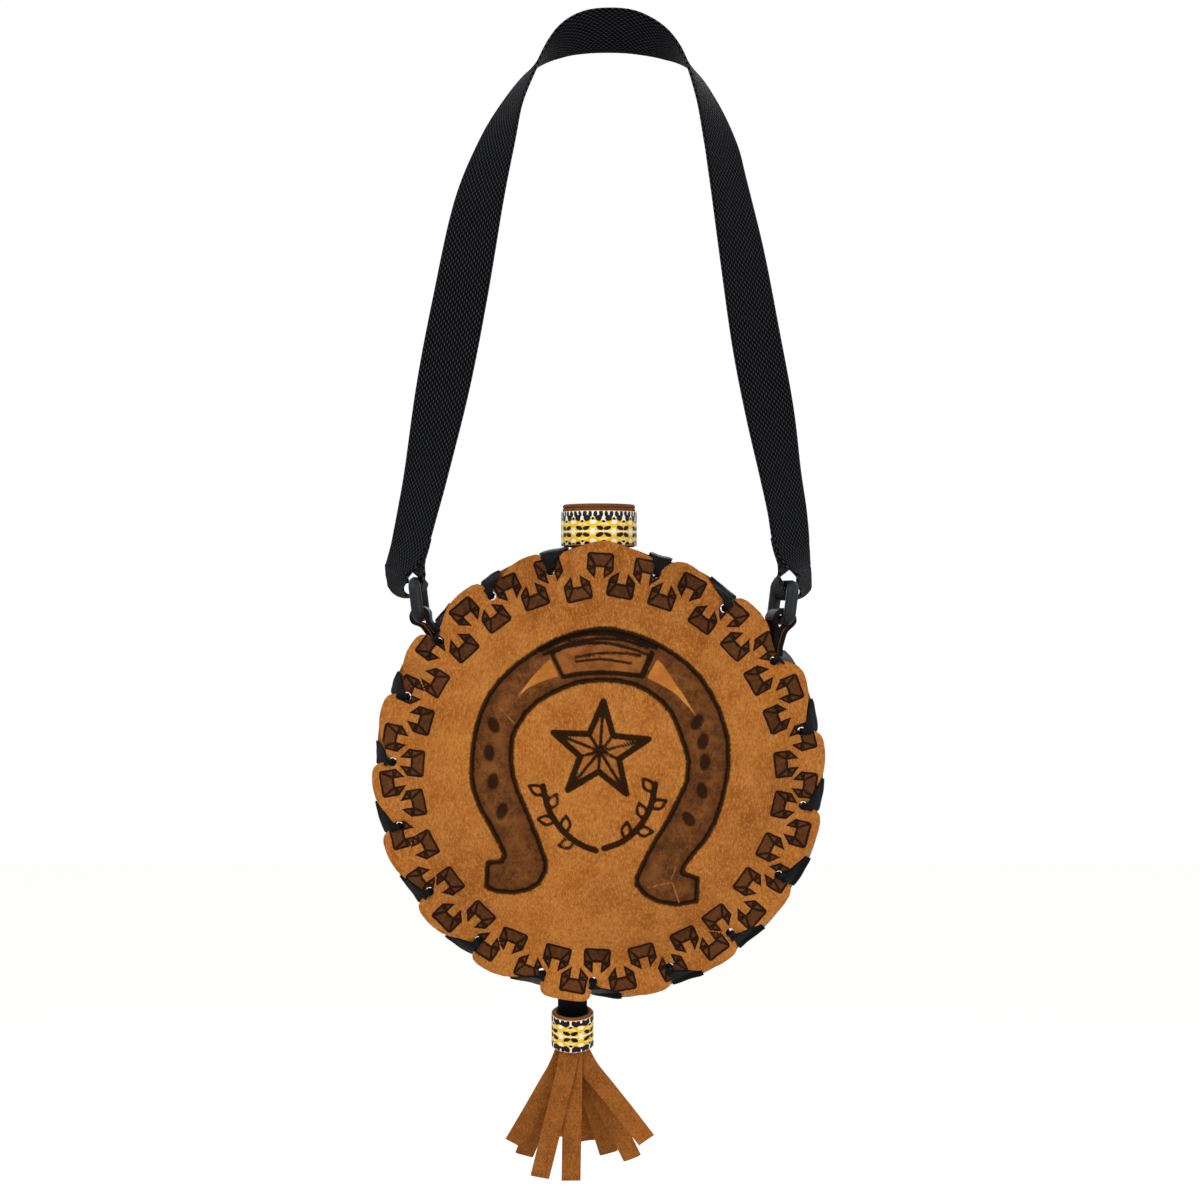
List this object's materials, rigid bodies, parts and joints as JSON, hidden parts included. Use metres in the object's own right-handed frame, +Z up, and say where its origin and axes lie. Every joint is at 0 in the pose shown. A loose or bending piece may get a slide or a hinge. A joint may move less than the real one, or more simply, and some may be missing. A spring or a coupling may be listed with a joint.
{
  "type": "leather-covered canteen",
  "caption": "Flat round canteen dressed in laced suede covers with scalloped edges, a screw cap, a webbing shoulder strap on plastic rings and a leather tassel.",
  "frame": {"origin": "the strap's underside at the top of its loop, where the canteen hangs", "axes": "+Z up, toward the strap; -Y toward the front cover; +X to the right as the front is seen"},
  "size_m": [0.2304, 0.0653, 0.5851],
  "materials": {
    "tan_suede": "matt napped suede with burnt and stamped borders",
    "brown_suede": "matt napped suede",
    "strap_leather": "smooth split leather with raw edges",
    "black_satin": "satin ribbon, creased",
    "printed_ribbon": "satin ribbon printed in white, yellow and black",
    "black_webbing": "woven polypropylene webbing",
    "ring_plastic": "moulded black plastic with a soft sheen",
    "cap_plastic": "moulded black plastic",
    "flask_plastic": "natural blow-moulded plastic",
    "seal_rubber": "soft liner"
  },
  "bodies": {
    "strap": {"strap_webbing": "black_webbing"},
    "left_ring": {"ring_left": "ring_plastic"},
    "right_ring": {"ring_right": "ring_plastic"},
    "canteen": {"flask_body": "flask_plastic", "front_cover": "tan_suede", "back_cover": "tan_suede", "rim_lacing": "black_satin", "tab_left": "strap_leather", "tab_left_ribbon": "black_satin", "tab_right": "strap_leather", "tab_right_ribbon": "black_satin"},
    "cap_liner": {"cap_seal": "seal_rubber"},
    "cap": {"cap_shell": "cap_plastic", "cap_leather_wrap": "strap_leather", "cap_ribbon_band": "printed_ribbon", "cap_top_leather": "strap_leather"},
    "tassel": {"tassel_loop": "black_satin", "tassel_collar": "strap_leather", "tassel_collar_ribbon": "printed_ribbon", "tassel_core": "brown_suede", "tassel_strip_1": "brown_suede", "tassel_strip_2": "brown_suede", "tassel_strip_3": "brown_suede", "tassel_strip_4": "brown_suede", "tassel_strip_5": "brown_suede", "tassel_strip_6": "brown_suede", "tassel_strip_7": "brown_suede", "tassel_strip_8": "brown_suede", "tassel_strip_9": "brown_suede"}
  },
  "joints": [
    {"name": "ring_left_sway", "type": "hinge", "parent": "strap", "child": "left_ring", "pos_m": [-0.09141, 0, -0.27451], "axis": [0, 1, 0], "range_deg": [-15, 15]},
    {"name": "canteen_sway", "type": "hinge", "parent": "left_ring", "child": "canteen", "pos_m": [-0.08929, 0, -0.29179], "axis": [0, 1, 0], "range_deg": [-15.5, 15.5]},
    {"name": "ring_right_sway", "type": "hinge", "parent": "strap", "child": "right_ring", "pos_m": [0.09236, 0, -0.27616], "axis": [-0.1392, 0.9903, 0], "range_deg": [-15.3, 15.3]},
    {"name": "cap_lift", "type": "slide", "parent": "canteen", "child": "cap_liner", "axis": [0, 0, 1], "range_m": [0, 0.0126]},
    {"name": "cap_turn", "type": "hinge", "parent": "cap_liner", "child": "cap", "pos_m": [-0.0005, 0, -0.257], "axis": [0, 0, 1], "range_deg": [0, 900]},
    {"name": "tassel_swing", "type": "hinge", "parent": "canteen", "child": "tassel", "pos_m": [-0.0138, 0, -0.4705], "axis": [1, 0, 0], "range_deg": [-28, 6]}
  ],
  "couplings": [
    {"joint": "canteen_sway", "follows": "ring_left_sway", "ratio": -1.0236},
    {"joint": "ring_right_sway", "follows": "ring_left_sway", "ratio": 1.0075},
    {"joint": "cap_lift", "follows": "cap_turn", "m_per_rad": 0.00079577}
  ]
}
